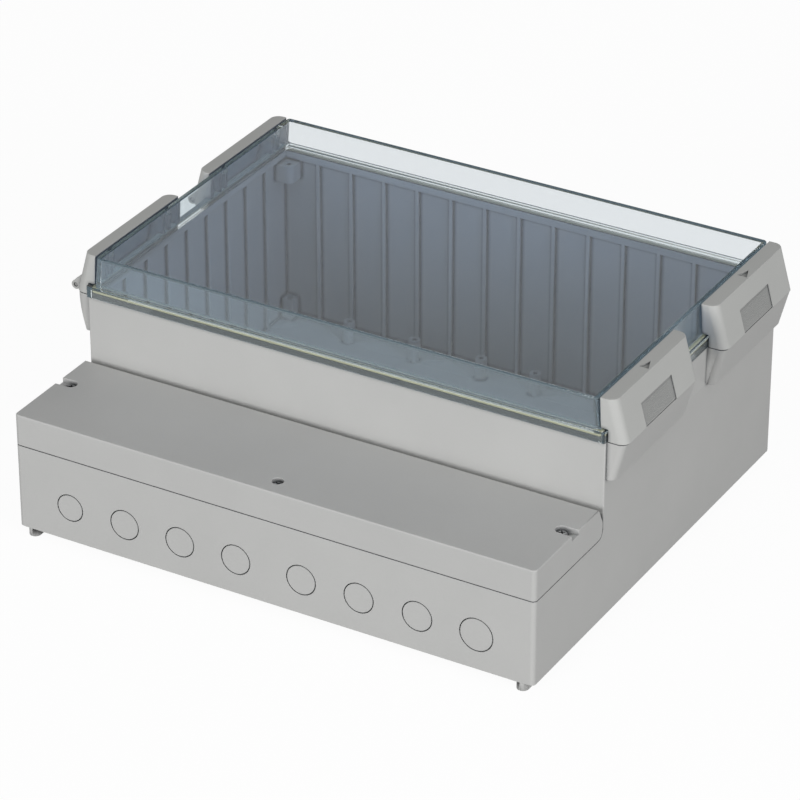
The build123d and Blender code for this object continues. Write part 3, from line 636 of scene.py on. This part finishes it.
# Painted glow: a dim blue emission that ends rays trapped inside the plastic after this many turns.
TRAPPED_GLOW = (0.085, 0.12, 0.14, 1.0)
DEEP_AFTER = 5.5
FLANGE_TINT = (0.78, 0.84, 0.85, 1.0)
FLANGE_BEAM = (0.95, 0.96, 0.95, 1.0)
FLANGE_TOP = 0.1346
WINDOW_BEND = 1.49
WINDOW_SHEEN = 0.12
WINDOW_ROUGH = 0.05
WINDOW_CLOUD = 90.0
WINDOW_FINE = 4.0
WINDOW_HAZE = 0.014
WALL_SMOKE = (0.90, 0.98, 1.0, 1.0)
WALL_HAZE = 0.075
WALL_LEAN = 0.3
REAR_WALL = 0.13
WINDOW_FLAT = 0.00002
FLANGE_SLOT = 1
WALL_SLOT = 2


def clear_plastic(name, colour, beam_colour, sky_colour, cloudy):
    """Tinted clear plastic that lets the lamps and the room's light reach what is behind it.

    A ray that keeps turning inside it ends in a painted glow: a faint dull-blue emission, lit by nothing,
    in place of black.
    """
    material = bpy.data.materials.new(name)
    material.use_nodes = True
    tree = material.node_tree
    shader = tree.nodes["Principled BSDF"]
    shader.inputs["Base Color"].default_value = colour
    shader.inputs["Transmission Weight"].default_value = 1.0 - cloudy
    shader.inputs["IOR"].default_value = WINDOW_BEND
    shader.inputs["Specular IOR Level"].default_value = WINDOW_SHEEN
    place = tree.nodes.new("ShaderNodeTexCoord")
    haze = node_at(tree, "ShaderNodeTexNoise", Scale=WINDOW_CLOUD, Detail=WINDOW_FINE)
    wire(tree, place.outputs["Object"], haze.inputs["Vector"])
    gloss = node_at(tree, "ShaderNodeMapRange")
    gloss.inputs["To Min"].default_value = 0.0
    gloss.inputs["To Max"].default_value = WINDOW_ROUGH
    wire(tree, haze.outputs["Fac"], gloss.inputs["Value"])
    wire(tree, gloss.outputs["Result"], shader.inputs["Roughness"])
    path = tree.nodes.new("ShaderNodeLightPath")
    trapped = tree.nodes.new("ShaderNodeMath")
    trapped.operation = "GREATER_THAN"
    trapped.inputs[1].default_value = DEEP_AFTER
    wire(tree, path.outputs["Ray Depth"], trapped.inputs[0])
    # Painted glow: rays that have turned more often than DEEP_AFTER end in this dim blue emission.
    trapped_glow = tree.nodes.new("ShaderNodeEmission")
    trapped_glow.inputs["Color"].default_value = TRAPPED_GLOW
    clear = tree.nodes.new("ShaderNodeMixShader")
    wire(tree, trapped.outputs[0], clear.inputs[0])
    wire(tree, shader.outputs[0], clear.inputs[1])
    wire(tree, trapped_glow.outputs[0], clear.inputs[2])
    open_to = tree.nodes.new("ShaderNodeMath")
    open_to.operation = "MAXIMUM"
    wire(tree, path.outputs["Is Shadow Ray"], open_to.inputs[0])
    wire(tree, path.outputs["Is Diffuse Ray"], open_to.inputs[1])
    light = tree.nodes.new("ShaderNodeMix")
    light.data_type = "RGBA"
    light.inputs["A"].default_value = beam_colour
    light.inputs["B"].default_value = sky_colour
    wire(tree, path.outputs["Is Diffuse Ray"], light.inputs["Factor"])
    passed = tree.nodes.new("ShaderNodeBsdfTransparent")
    wire(tree, light.outputs["Result"], passed.inputs["Color"])
    mix = tree.nodes.new("ShaderNodeMixShader")
    wire(tree, open_to.outputs[0], mix.inputs[0])
    wire(tree, clear.outputs[0], mix.inputs[1])
    wire(tree, passed.outputs[0], mix.inputs[2])
    wire(tree, mix.outputs[0], tree.nodes["Material Output"].inputs["Surface"])
    return material


def true_flats(mesh):
    """Keeps every large flat face truly flat, so that what lies behind it is seen undistorted."""
    named = mesh.attributes.get("custom_normal")
    if named:
        mesh.attributes.remove(named)
    shell = bmesh.new()
    shell.from_mesh(mesh)
    flats = {face for face in shell.faces if face.calc_area() > WINDOW_FLAT}
    fresh = list(flats)
    while fresh:
        for line in fresh.pop().edges:
            if line.calc_face_angle(0) < FLAT_TURN:
                level = set(line.link_faces) - flats
                flats |= level
                fresh += level
    for line in shell.edges:
        turn = line.calc_face_angle(0)
        line.smooth = turn < FLAT_TURN or (turn < SHARP_TURN and flats.isdisjoint(line.link_faces))
    shell.to_mesh(mesh)
    shell.free()


window_plastic = clear_plastic("window_plastic", SMOKE, SMOKE_BEAM, SMOKE_SKY, WINDOW_HAZE)
flange_plastic = clear_plastic("flange_plastic", FLANGE_TINT, FLANGE_BEAM, FLANGE_BEAM, WINDOW_HAZE)
wall_plastic = clear_plastic("wall_plastic", WALL_SMOKE, SMOKE_BEAM, SMOKE_SKY, WALL_HAZE)
window = soften("window_cover", "window_cover_moulding", WINDOW_EDGE)
true_flats(window.data)
dress(window, window_plastic)
window.data.materials.append(flange_plastic)
window.data.materials.append(wall_plastic)
for face in window.data.polygons:
    if face.center.z < FLANGE_TOP:
        face.material_index = FLANGE_SLOT
    elif abs(face.normal.z) < WALL_LEAN and face.center.y < REAR_WALL:
        face.material_index = WALL_SLOT
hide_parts("window_cover")
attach(window, "window")

# Window cover seal
# Polyurethane foam, poured as one bead with no joint, pale yellow-grey and slightly domed.
# It is bonded in the flange of the cover and lies on the rim of the base when shut.
FOAM = (0.62, 0.58, 0.40, 1.0)
FOAM_ROUGH = 0.85
FOAM_PORES = 1400.0
FOAM_PORE_DEPTH = 0.0001
FOAM_WIDTH = 0.0024
FOAM_CORNER = 0.0012
FOAM_SOFT = 0.0006
foam = soft_material("seal_foam", FOAM, FOAM_ROUGH, FOAM_PORES, FOAM_PORE_DEPTH)
lay_bead(
    "cover_seal",
    "cover_seal_bead",
    "window",
    FOAM_WIDTH,
    FOAM_CORNER,
    FOAM_SOFT,
    foam,
)

# Latches
# Two light grey clips on the right, each moulded in one piece with ribs and pin bores behind.
# A shallow pad of fine ridges marks where the finger presses, and a small arrow which way.
CLIP_EDGE = 0.00035
CLIP_PALE = (0.512, 0.518, 0.505, 1.0)
CLIP_DEEP = (0.482, 0.488, 0.476, 1.0)
CLIP_ROUGH = 0.45
CLIP_GRAIN = 0.6
clip_plastic = moulded_plastic("clip_plastic", CLIP_PALE, CLIP_DEEP, CLIP_ROUGH, CLIP_GRAIN)
for node, body in (("latch_front", "front_latch"), ("latch_rear", "rear_latch")):
    latch = soften(node, node + "_moulding", CLIP_EDGE)
    dress(latch, clip_plastic)
    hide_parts(node)
    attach(latch, body)

# Hinge leaves
# Two leaves on the left in the same plastic as the latches, but slimmer and with no finger pad.
# Each has two knuckles that turn on a pin held in the middle knuckle of the base.
for node in ("hinge_leaf_front", "hinge_leaf_rear"):
    leaf = soften(node, node + "_moulding", CLIP_EDGE)
    dress(leaf, clip_plastic)
    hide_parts(node)
    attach(leaf, "window")

# Pins
# Drawn stainless pins with rounded ends: two through the hinge knuckles, and one behind each
# clip and leaf, pressed into the ears of the window cover.
PIN_COLOUR = (0.56, 0.56, 0.55, 1.0)
PIN_ROUGH = 0.25
PIN_SIDES = 40
PIN_EASE = 0.004
PIN_END = 0.8
PINS = [
    ("hinge_pin_front", "base"),
    ("hinge_pin_rear", "base"),
    ("latch_pin_front", "window"),
    ("latch_pin_rear", "window"),
    ("leaf_pin_front", "window"),
    ("leaf_pin_rear", "window"),
]


def pin_tree():
    """A round pin, built at a radius and length of one and then sized, eased at both ends."""
    tree, sizes, ends = tree_with("round_pin", Centre=Vector(), Radius=0.0, Length=0.0, Material=None)
    rings = [(PIN_EASE, 1 / PIN_END), (1 - 2 * PIN_EASE, 1.0), (PIN_EASE, PIN_END)]
    rod = turned(tree, PIN_END, rings, PIN_SIDES)
    size = tree.nodes.new("ShaderNodeCombineXYZ")
    wire(tree, sizes.outputs["Radius"], size.inputs[0])
    wire(tree, sizes.outputs["Radius"], size.inputs[1])
    wire(tree, sizes.outputs["Length"], size.inputs[2])
    thin = moved(tree, moved(tree, rod, shift=(0, 0, -0.5)), size=size.outputs[0])
    along = moved(tree, thin, shift=sizes.outputs["Centre"], turn=(math.pi / 2, 0, 0))
    close(tree, ends, along, sizes.outputs["Material"])
    return tree


pin_shape = pin_tree()
pin_steel = plated_steel("pin_steel", PIN_COLOUR, PIN_ROUGH)
for node, body in PINS:
    low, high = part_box(node)
    pin = grow(
        pin_shape,
        node + "_steel",
        Centre=(low + high) / 2,
        Radius=(high.x - low.x) / 2,
        Length=high.y - low.y,
        Material=pin_steel,
    )
    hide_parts(node)
    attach(pin, body)

# Studio
# A white floor that keeps a faint shadow, a white surround that mirrored rays see dimmed, and
# two large soft lamps, one in front and one on the right.
FLOOR_HALF = 6.0
WHITE = (1.0, 1.0, 1.0, 1.0)
FLOOR_LIGHT = (0.24, 0.24, 0.24, 1.0)
FLOOR_SHADE = 0.05
WORLD_LIGHT = 0.37
WORLD_GLOSS = 0.10
PAPER_ROUGH = 0.9
LAMP_AIM = Vector((0.0, 0.0, 0.07))
FLOOR_CORNERS = [(-1, -1), (1, -1), (1, 1), (-1, 1)]
FLOOR_GLOSS = 0.30
LAMPS = [
    ("front_lamp", (-0.5, -3.4, 0.9), 1.6, 68.0),
    ("right_lamp", (2.9, -1.1, 1.2), 1.0, 52.0),
]


def seen_rays(tree, mirrored):
    """One for rays that show the background, a share for mirrored ones, nought for the rest."""
    path = tree.nodes.new("ShaderNodeLightPath")
    share = tree.nodes.new("ShaderNodeMath")
    share.operation = "MULTIPLY"
    share.inputs[1].default_value = mirrored
    wire(tree, path.outputs["Is Glossy Ray"], share.inputs[0])
    most = share.outputs[0]
    for kind in ("Is Camera Ray", "Is Transmission Ray"):
        either = tree.nodes.new("ShaderNodeMath")
        either.operation = "MAXIMUM"
        wire(tree, path.outputs[kind], either.inputs[0])
        wire(tree, most, either.inputs[1])
        most = either.outputs[0]
    return most


def seen_mix(tree, lit, colour, share, mirrored):
    """Mixes in plain white for rays that show the background, by the given share."""
    seen = seen_rays(tree, mirrored)
    part = tree.nodes.new("ShaderNodeMath")
    part.operation = "MULTIPLY"
    part.inputs[1].default_value = share
    wire(tree, seen, part.inputs[0])
    mix = tree.nodes.new("ShaderNodeMixShader")
    wire(tree, part.outputs[0], mix.inputs[0])
    wire(tree, lit, mix.inputs[1])
    wire(tree, colour, mix.inputs[2])
    return mix.outputs[0]


floor_mesh = bpy.data.meshes.new("floor")
floor_points = [(x * FLOOR_HALF, y * FLOOR_HALF, 0.0) for x, y in FLOOR_CORNERS]
floor_mesh.from_pydata(floor_points, [], [(0, 1, 2, 3)])
floor = bpy.data.objects.new("floor", floor_mesh)
bpy.context.scene.collection.objects.link(floor)
paper = bpy.data.materials.new("floor_paper")
paper.use_nodes = True
paper_tree = paper.node_tree
paper_lit = paper_tree.nodes["Principled BSDF"]
paper_tint = paper_tree.nodes.new("ShaderNodeMix")
paper_tint.data_type = "RGBA"
paper_tint.inputs["A"].default_value = FLOOR_LIGHT
paper_tint.inputs["B"].default_value = WHITE
wire(paper_tree, seen_rays(paper_tree, FLOOR_GLOSS), paper_tint.inputs["Factor"])
wire(paper_tree, paper_tint.outputs["Result"], paper_lit.inputs["Base Color"])
paper_lit.inputs["Roughness"].default_value = PAPER_ROUGH
paper_white = paper_tree.nodes.new("ShaderNodeEmission")
wire(
    paper_tree,
    seen_mix(paper_tree, paper_lit.outputs[0], paper_white.outputs[0], 1 - FLOOR_SHADE, FLOOR_GLOSS),
    paper_tree.nodes["Material Output"].inputs["Surface"],
)
floor_mesh.materials.append(paper)

world = bpy.data.worlds.new("studio")
bpy.context.scene.world = world
world.use_nodes = True
world_tree = world.node_tree
world_lit = world_tree.nodes["Background"]
world_lit.inputs["Color"].default_value = WHITE
world_path = world_tree.nodes.new("ShaderNodeLightPath")
world_level = node_at(world_tree, "ShaderNodeMapRange")
world_level.inputs["To Min"].default_value = WORLD_LIGHT
world_level.inputs["To Max"].default_value = WORLD_GLOSS
wire(world_tree, world_path.outputs["Is Glossy Ray"], world_level.inputs["Value"])
wire(world_tree, world_level.outputs["Result"], world_lit.inputs["Strength"])
world_white = world_tree.nodes.new("ShaderNodeBackground")
world_white.inputs["Color"].default_value = WHITE
wire(
    world_tree,
    seen_mix(world_tree, world_lit.outputs[0], world_white.outputs[0], share=1.0, mirrored=0.0),
    world_tree.nodes["World Output"].inputs["Surface"],
)

for name, place, size, power in LAMPS:
    light = bpy.data.lights.new(name, "AREA")
    light.size = size
    light.energy = power
    lamp = bpy.data.objects.new(name, light)
    lamp.location = place
    lamp.rotation_euler = (LAMP_AIM - Vector(place)).to_track_quat("-Z", "Y").to_euler()
    bpy.context.scene.collection.objects.link(lamp)

# Camera
# Long lens from the front right, about 30 degrees round and 30 degrees up, fitted to the
# photograph by least squares. Its axis passes close to the middle of the object.
VIEW_TURN = math.radians(30.03)
VIEW_RISE = math.radians(29.73)
VIEW_REACH = 2.2496
VIEW_POINT = Vector((0.13806, -0.23899, 0.22532))
LENS = 186.8
SENSOR = 36.0
FAR = 50.0
back = Vector(
    (
        math.sin(VIEW_TURN) * math.cos(VIEW_RISE),
        -math.cos(VIEW_TURN) * math.cos(VIEW_RISE),
        math.sin(VIEW_RISE),
    )
)
right = Vector((math.cos(VIEW_TURN), math.sin(VIEW_TURN), 0.0))
up = back.cross(right)
lens = bpy.data.cameras.new("camera")
lens.lens = LENS
lens.sensor_width = SENSOR
lens.clip_end = FAR
camera = bpy.data.objects.new("camera", lens)
camera.matrix_world = Matrix.Translation(VIEW_POINT + back * VIEW_REACH) @ Matrix(
    (right, up, back)
).transposed().to_4x4()
bpy.context.scene.collection.objects.link(camera)
bpy.context.scene.camera = camera
bpy.context.scene.view_settings.view_transform = "Standard"
